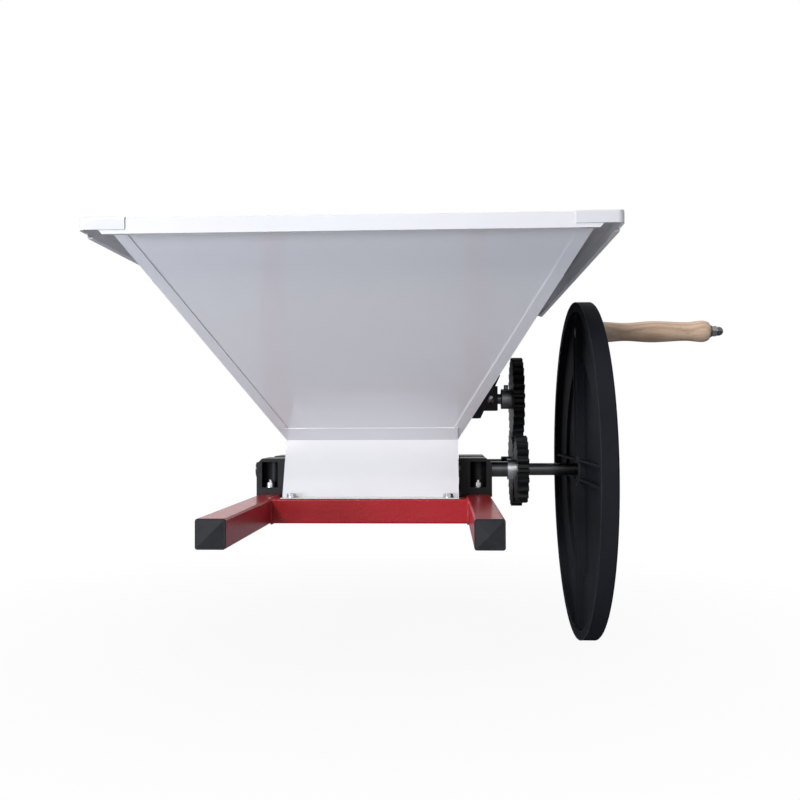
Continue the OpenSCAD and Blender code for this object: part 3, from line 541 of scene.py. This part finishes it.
# %% Studs and nuts of the bearing blocks
UP = (0, 0, 1)
BOLT, PITCH, FLATS, THREAD_BORE = 6 * MM, 1 * MM, 10 * MM, 5.4 * MM


def make_fastener(name, grids, node, body="frame", look="zinc_steel"):
    """Piece with crisp flats that stands for one node of fasteners, with a zinc finish unless a look is
    given.
    """
    return make_piece(name, grids, body, look, [node], HEX_FACET)


stud_lo, stud_hi = box_of("bearing_studs")
nut_lo, nut_hi = box_of("bearing_nuts")
block_lo, block_hi = box_of("front_right_bearing")
block_y = abs(block_lo[1] + block_hi[1]) / 2
stud_x, stud_far = stud_hi[0] - BOLT / 2, stud_hi[1] - BOLT / 2
stud_rows = [s * y for s in (-1, 1) for y in (stud_far, 2 * block_y - stud_far)]
stud_spots = [(x, y) for x in (-stud_x, stud_x) for y in stud_rows]
stud_length, nut_height = stud_hi[2] - stud_lo[2], nut_hi[2] - nut_lo[2]
studs = [thread((x, y, stud_lo[2]), UP, BOLT, stud_length, PITCH) for x, y in stud_spots]
nuts = [hex_nut((x, y, nut_lo[2]), UP, FLATS, nut_height, THREAD_BORE) for x, y in stud_spots]
make_piece("stud_threads", studs, "frame", "zinc_steel", ["bearing_studs"])
make_fastener("stud_nuts", nuts, "bearing_nuts")

# %% [markdown]
# The apron bolts hold the sheet to the cross tubes. Under each head a washer spreads the load, which is
# a short lathe profile: an outline turned once around an axis.

# %% Apron bolts
HEAD, WASHER, WASHER_D = 5 * MM, 1.2 * MM, 12.5 * MM


def lathe(radii, heights, origin, axis, turns=72):
    """Surface of revolution: each radius is carried once around the axis at its height."""
    return around(np.repeat(np.asarray(radii)[:, None], turns, axis=1), heights, origin, axis)


apron_lo, apron_hi = box_of("apron_bolts")
apron_x = apron_hi[0] - FLATS / 2 / math.cos(math.pi / 6)
apron_y = apron_hi[1] - FLATS / 2
seat_z = apron_hi[2] - HEAD
washer_r = np.array([BOLT, WASHER_D, WASHER_D, BOLT, BOLT]) / 2
washer_h = np.array([0, 0, 1, 1, 0]) * WASHER
shank_r = np.array([0, BOLT, BOLT, 0]) / 2
shank_h = np.array([0, 0, 1, 1]) * (seat_z - apron_lo[2])
apron_bolts = []
for x in (-apron_x, apron_x):
    for y in (-apron_y, apron_y):
        head_at = (x, y, seat_z + WASHER)
        apron_bolts.append(lathe(washer_r, washer_h, (x, y, seat_z), UP, turns=48))
        apron_bolts.append(hex_nut(head_at, UP, FLATS, HEAD - WASHER, NO_BORE, (False, True)))
        apron_bolts.append(lathe(shank_r, shank_h, (x, y, apron_lo[2]), UP, turns=32))
make_fastener("apron_bolt_heads", apron_bolts, "apron_bolts")

# %% [markdown]
# The agitator brackets hang on bolts through the slanted wall, so their axis is measured on the
# solids: it is the direction in which a bolt's points spread most.

# %% Bracket bolts and nuts
BRACKET_NUT = 5 * MM
bolt_points, nut_points = points_of("bracket_bolts"), points_of("bracket_nuts")
bracket_bolts, bracket_nuts = [], []
for side in (-1, 1):
    for end in (-1, 1):
        bolt, nut = (p[(p[:, 0] * side > 0) & (p[:, 1] * end > 0)] for p in (bolt_points, nut_points))
        axis = np.linalg.eigh(np.cov(bolt.T))[1][:, -1]
        axis *= side * np.sign(axis[0])
        nut_at = nut.mean(0)
        reach = (bolt - nut_at) @ axis
        seat = nut_at + axis * (reach.min() + HEAD)
        bracket_bolts.append(hex_nut(seat, -axis, FLATS, HEAD, NO_BORE, (False, True)))
        bracket_bolts.append(thread(seat, axis, BOLT, np.ptp(reach) - HEAD, PITCH))
        nut_seat = nut_at - axis * BRACKET_NUT / 2
        bracket_nuts.append(hex_nut(nut_seat, axis, FLATS, BRACKET_NUT, THREAD_BORE))
make_fastener("bracket_bolt_threads", bracket_bolts, "bracket_bolts")
make_fastener("bracket_nut_cones", bracket_nuts, "bracket_nuts")

# %% [markdown]
# ## Flywheel nut and handle
# A large nut clamps the wheel on its shaft. The handle turns on a bolt whose hexagon head sits behind
# the web and whose far end carries a dome nut: a hexagon, a short neck and a round cap, so that no
# thread scratches the hand.

# %% Flywheel nut and handle bolt
OUT, IN = (1, 0, 0), (-1, 0, 0)
WHEEL_FLATS, WHEEL_BORE = 18 * MM, 11 * MM
HANDLE_BOLT, HANDLE_PITCH, HANDLE_FLATS, HANDLE_HEAD = 8 * MM, 1.25 * MM, 13 * MM, 5.3 * MM
lo, hi = box_of("flywheel_nut")
wheel_nut_at = (lo[0], *((lo + hi) / 2)[1:])
wheel_nut = hex_nut(wheel_nut_at, OUT, WHEEL_FLATS, hi[0] - lo[0], WHEEL_BORE)
make_fastener("flywheel_nut_cones", [wheel_nut], "flywheel_nut", "crank")

lo, hi = box_of("handle_bolt")
handle_y, handle_z = ((lo + hi) / 2)[1:]
seat = (lo[0] + HANDLE_HEAD, handle_y, handle_z)
handle_bolt = [hex_nut(seat, IN, HANDLE_FLATS, HANDLE_HEAD, NO_BORE, (False, True)),
               thread(seat, OUT, HANDLE_BOLT, hi[0] - seat[0], HANDLE_PITCH)]
make_fastener("handle_bolt_thread", handle_bolt, "handle_bolt", "crank", "black_steel")

# %% [markdown]
# The cap of the dome nut is polished and its hexagon is turned, so they are two pieces. The cap is a
# lathe profile: a foot inside the hexagon, a short neck and a quarter circle. A cut sphere could do,
# but its poles would lie across the axle and break the highlight.

# %% Dome nut
DOME_HEX, DOME_BORE, DOME_R, DOME_ROWS = 6.5 * MM, 7.2 * MM, 5.9 * MM, 17
FOOT_RADII, FOOT_HEIGHTS = np.array([0, 0.8, 0.97, 1]), np.array([-0.65, -0.65, 0.2, 0.6]) * MM
lo, hi = box_of("handle_dome_nut")
dome_at = (lo[0], handle_y, handle_z)
t = np.linspace(0, np.pi / 2, DOME_ROWS)
cap_from = hi[0] - lo[0] - DOME_R
dome_r = np.concatenate([FOOT_RADII, np.cos(t)]) * DOME_R
dome_h = np.concatenate([DOME_HEX + FOOT_HEIGHTS, cap_from + DOME_R * np.sin(t)])
dome_hexagon = hex_nut(dome_at, OUT, HANDLE_FLATS, DOME_HEX, DOME_BORE)
dome_cap = lathe(dome_r, dome_h, dome_at, OUT)
make_fastener("dome_nut_hexagon", [dome_hexagon], "handle_dome_nut", "crank", "dome_and_shaded_hub_steel")
make_piece("dome_nut_cap", [dome_cap], "crank", "drawn_steel", facet=HEX_FACET)

# %% [markdown]
# ## Parting lines of the wheel, with painted highlight lines
# The wheel is moulded between two halves. Where they met at the edge of the rim, a fine polished ridge
# is left, and it catches the light as a thin line around the wheel. A second one runs around the end of
# the hub. Each is a small round section turned around the axle. Both take the tube caps' plastic,
# lighter and glossier than the wheel's, so their thin bright line is partly a painted highlight. A
# torus could do, but it would need a transform of its own.

# %% Ridges along the rim and the hub
RIM_RIDGE, HUB_RIDGE, RIDGE_INSET = 0.6 * MM, 0.9 * MM, 0.4 * MM
WHEEL_HUB_D, WHEEL_HUB_STEP = 44 * MM, 4.5 * MM
RIM_TURNS, HUB_TURNS, RIDGE_ROWS = 240, 96, 17
lo, hi = box_of("flywheel")
axle_yz = ((lo + hi) / 2)[1:]
t = np.linspace(0, 2 * np.pi, RIDGE_ROWS)
rim_r = (hi[2] - lo[2]) / 2 - RIDGE_INSET
hub_r = WHEEL_HUB_D / 2 - HUB_RIDGE / 2
ridges = {"rim_ridge_painted_highlight": (rim_r, RIM_RIDGE, lo[0] + RIDGE_INSET, RIM_TURNS),
          "hub_ridge_painted_highlight": (hub_r, HUB_RIDGE, lo[0] + WHEEL_HUB_STEP + RIDGE_INSET, HUB_TURNS)}
# The ridges take the lighter cap plastic: a painted highlight line on the darker wheel.
for name, (radius, ridge, x, turns) in ridges.items():
    ring = lathe(radius + ridge * np.cos(t), ridge * np.sin(t), (x, *axle_yz), OUT, turns)
    make_piece(name, [ring], "crank", "cap_plastic")

# %% [markdown]
# ## Hub sleeve
# A thin steel sleeve is pressed over the hub of the agitator gear and takes the pull of its set screw.
# It is a short lathe profile with broken edges. Its steel is darker than the pinion's bright hub: that
# darkness is painted shade, for the shadow of the hopper over it. The hub could be a solid of its own,
# but it is moulded in one piece with the teeth.

# %% Sleeve on the agitator gear's hub
HUB_D, HUB_LENGTH, SLEEVE, BREAK, STAND = 27 * MM, 13.5 * MM, 0.2 * MM, 0.6 * MM, 0.1 * MM
lo, hi = box_of("agitator_gear")
sleeve_at = (lo[0], *((lo + hi) / 2)[1:])
outer_r = HUB_D / 2 + SLEEVE
inner_r = outer_r - BREAK
sleeve_r = [inner_r, inner_r, outer_r, outer_r, HUB_D / 2, inner_r]
sleeve_h = [BREAK, -STAND, BREAK, HUB_LENGTH, HUB_LENGTH, BREAK]
sleeve = lathe(sleeve_r, sleeve_h, sleeve_at, OUT)
# The darker steel here is painted shade for the hopper's shadow on the sleeve.
make_piece("hub_sleeve", [sleeve], "agitator", "dome_and_shaded_hub_steel", facet=HEX_FACET)

# %% [markdown]
# ## Turned grip
# The grip was turned on a lathe from one piece of beech. Its outline swells at both ends and once in
# the middle, so that the hand does not slip off. The surface is a smooth curve through a few stations,
# turned around the bolt, with faint tool rings left along it. A screw modifier could turn a drawn curve
# as well, but stations are easier to read and to change.

# %% Grip turned from a smooth outline
GRIP_STATIONS = np.array([(0, 0.84), (0.025, 0.935), (0.111, 0.971), (0.295, 0.844), (0.517, 0.993),
                          (0.803, 0.873), (0.939, 1), (0.984, 0.87), (1, 0.66)])
TOOL_RING, TOOL_WAVE, GRIP_PLAY, GRIP_ROWS = 0.03 * MM, 430, 0.08 * MM, 241


def smooth_curve(stations, share):
    """Cubic through the stations; its slope at each one is that of the line between its neighbours."""
    x, y = stations.T
    order = np.arange(len(x))
    before, after = np.maximum(order - 1, 0), np.minimum(order + 1, len(x) - 1)
    slope = (y[after] - y[before]) / (x[after] - x[before])
    i = np.clip(np.searchsorted(x, share, side="right") - 1, 0, len(x) - 2)
    span = x[i + 1] - x[i]
    s = (share - x[i]) / span
    ends = (1 + 2 * s) * (1 - s) ** 2 * y[i] + s * s * (3 - 2 * s) * y[i + 1]
    return ends + span * (s * (1 - s) ** 2 * slope[i] + s * s * (s - 1) * slope[i + 1])


grip_d = grip_hi[2] - grip_lo[2]
along = np.linspace(0, 1, GRIP_ROWS)
tool_rings = TOOL_RING * (1 + np.sin(along * TOOL_WAVE))
outline_r = grip_d / 2 * smooth_curve(GRIP_STATIONS, along) - tool_rings
bore_r = [HANDLE_BOLT / 2 + GRIP_PLAY]
grip_r = np.concatenate([bore_r, outline_r, bore_r, bore_r])
grip_h = np.concatenate([[0], along, [1], [0]]) * (grip_hi[0] - grip_lo[0])
grip = lathe(grip_r, grip_h, (grip_lo[0], handle_y, handle_z), OUT, turns=96)
make_piece("turned_grip", [grip], "grip", "beech", ["handle_grip"])

# %% [markdown]
# ## Camera, floor and light
# The camera stands where the photograph was taken from: in front of the machine, a little right of
# its middle and low, so that the rails' ends face it. Its lens follows from the focal length in pixels.

# %% Camera at the photograph's viewing angle
yaw, pitch, roll = (math.radians(v) for v in (2.80, 1.44, -0.22))
CAMERA_AT, FOCAL_PIXELS, IMAGE_PIXELS = (0.093, -1.2683, 0.1217), 925.9, 800
forward = Vector((-math.sin(yaw) * math.cos(pitch), math.cos(yaw) * math.cos(pitch), math.sin(pitch)))
side = Vector((math.cos(yaw), math.sin(yaw), 0))
top = side.cross(forward)
side, top = math.cos(roll) * side + math.sin(roll) * top, math.cos(roll) * top - math.sin(roll) * side
camera = bpy.data.objects.new("camera", bpy.data.cameras.new("camera"))
camera.data.sensor_width = 36
camera.data.lens = camera.data.sensor_width * FOCAL_PIXELS / IMAGE_PIXELS
facing = Matrix((side, top, -forward)).transposed().to_4x4()
camera.matrix_world = Matrix.Translation(CAMERA_AT) @ facing
bpy.context.collection.objects.link(camera)
bpy.context.scene.camera = camera
bpy.context.scene.view_settings.view_transform = "Standard"
print("lens", round(camera.data.lens, 2))

# %% [markdown]
# The background is plain white to the camera and to reflections, while a softer blue grey lights the
# part. A brighter world would light the part as well, so a Light Path node keeps the two apart.

# %% Background
AMBIENT, AMBIENT_STRENGTH = (0.57, 0.73, 1.0, 1), 0.24


def join(tree, operation, first, second):
    """Result of a Math node on two sockets, or on a socket and a number."""
    node = tree.nodes.new("ShaderNodeMath")
    node.operation = operation
    tree.links.new(first, node.inputs[0])
    if isinstance(second, float):
        node.inputs[1].default_value = second
    else:
        tree.links.new(second, node.inputs[1])
    return node.outputs[0]


def mix_white(tree, lit, white_kind, share):
    """Shader between the lit one, where share is 0, and plain white, where share is 1."""
    white = tree.nodes.new(white_kind)
    white.inputs["Color"].default_value = (1, 1, 1, 1)
    white.inputs["Strength"].default_value = 1.0
    mix = tree.nodes.new("ShaderNodeMixShader")
    tree.links.new(share, mix.inputs[0])
    tree.links.new(lit.outputs[0], mix.inputs[1])
    tree.links.new(white.outputs[0], mix.inputs[2])
    return mix.outputs[0]


def ray_kinds(tree):
    """Two sockets that are 1 for camera rays, and for mirrored or transmitted rays."""
    rays = tree.nodes.new("ShaderNodeLightPath").outputs
    mirrored = join(tree, "MAXIMUM", rays["Is Glossy Ray"], rays["Is Transmission Ray"])
    return rays["Is Camera Ray"], mirrored


world = bpy.data.worlds.new("studio")
bpy.context.scene.world = world
world.use_nodes = True
sky = world.node_tree
ambient = sky.nodes["Background"]
ambient.inputs["Color"].default_value = AMBIENT
ambient.inputs["Strength"].default_value = AMBIENT_STRENGTH
seen = join(sky, "MAXIMUM", *ray_kinds(sky))
backdrop = mix_white(sky, ambient, "ShaderNodeBackground", seen)
sky.links.new(backdrop, sky.nodes["World Output"].inputs["Surface"])
print("background nodes", len(sky.nodes))

# %% [markdown]
# The floor lies just under the flywheel. It fades to the same white away from the part, so that no
# horizon shows, and it keeps the shadow near it. In reflections the floor shows more of its own grey,
# as a studio floor does.

# %% Floor
FLOOR_SIZE, FLOOR_GAP, FLOOR_GREY, FLOOR_ROUGH = 40, 0.5 * MM, 0.42, 0.9
NEAR, FAR, SHADOW_SHARE, MIRRORED_WHITE = 0.2, 0.8, 0.07, 0.05
bpy.ops.mesh.primitive_plane_add(size=FLOOR_SIZE, location=(0, 0, cad_box[0][2] - FLOOR_GAP))
floor = bpy.context.object
floor.name = "floor"
floor_look = bpy.data.materials.new("floor")
floor_look.use_nodes = True
ground = floor_look.node_tree
floor_shader = ground.nodes["Principled BSDF"]
floor_shader.inputs["Base Color"].default_value = (FLOOR_GREY, FLOOR_GREY, FLOOR_GREY, 1)
floor_shader.inputs["Roughness"].default_value = FLOOR_ROUGH
distance = ground.nodes.new("ShaderNodeVectorMath")
distance.operation = "LENGTH"
ground.links.new(ground.nodes.new("ShaderNodeTexCoord").outputs["Object"], distance.inputs[0])
fade = ground.nodes.new("ShaderNodeMapRange")
fade_range = {"From Min": NEAR, "From Max": FAR, "To Min": 1 - SHADOW_SHARE, "To Max": 1.0}
for name, value in fade_range.items():
    fade.inputs[name].default_value = value
ground.links.new(distance.outputs["Value"], fade.inputs["Value"])
camera_ray, mirrored_ray = ray_kinds(ground)
to_camera = join(ground, "MULTIPLY", camera_ray, fade.outputs["Result"])
share = join(ground, "MAXIMUM", to_camera, join(ground, "MULTIPLY", mirrored_ray, MIRRORED_WHITE))
floor_surface = mix_white(ground, floor_shader, "ShaderNodeEmission", share)
ground.links.new(floor_surface, ground.nodes["Material Output"].inputs["Surface"])
floor.data.materials.append(floor_look)
print("floor at", round(floor.location.z, 4))

# %% [markdown]
# Four area lamps light the part. The key stands far in front on the left and is a little warm, the
# low lamp brightens the slanted front panel from below, the top lamp fills the hopper, and a small one
# above the rim draws the bright line along its edge. One lamp with a bright world could do, but then
# the panel would lose its gradient.

# %% Lamps
LAMPS = {
    "key": ((-1.5, -3.9, 2.15), 1.1, 96, (1.0, 0.93, 0.85)),
    "top": ((-0.2, 0.3, 2.2), 1.6, 18, (1.0, 1.0, 1.0)),
    "edge": ((-0.2, -1.55, 2.2), 0.35, 5, (1.0, 1.0, 1.0)),
    "low": ((-1.2, -1.8, 0.0), 0.8, 29, (0.79, 0.86, 0.97)),
}
AIM = Vector((0, 0, 0.12))
for name, (spot, size, power, colour) in LAMPS.items():
    lamp = bpy.data.lights.new(name, "AREA")
    lamp.size = size
    lamp.energy = power
    lamp.color = colour
    lamp_object = bpy.data.objects.new(name, lamp)
    lamp_object.location = spot
    lamp_object.rotation_euler = (AIM - Vector(spot)).to_track_quat("-Z", "Y").to_euler()
    bpy.context.collection.objects.link(lamp_object)
print("lamps", len(LAMPS))
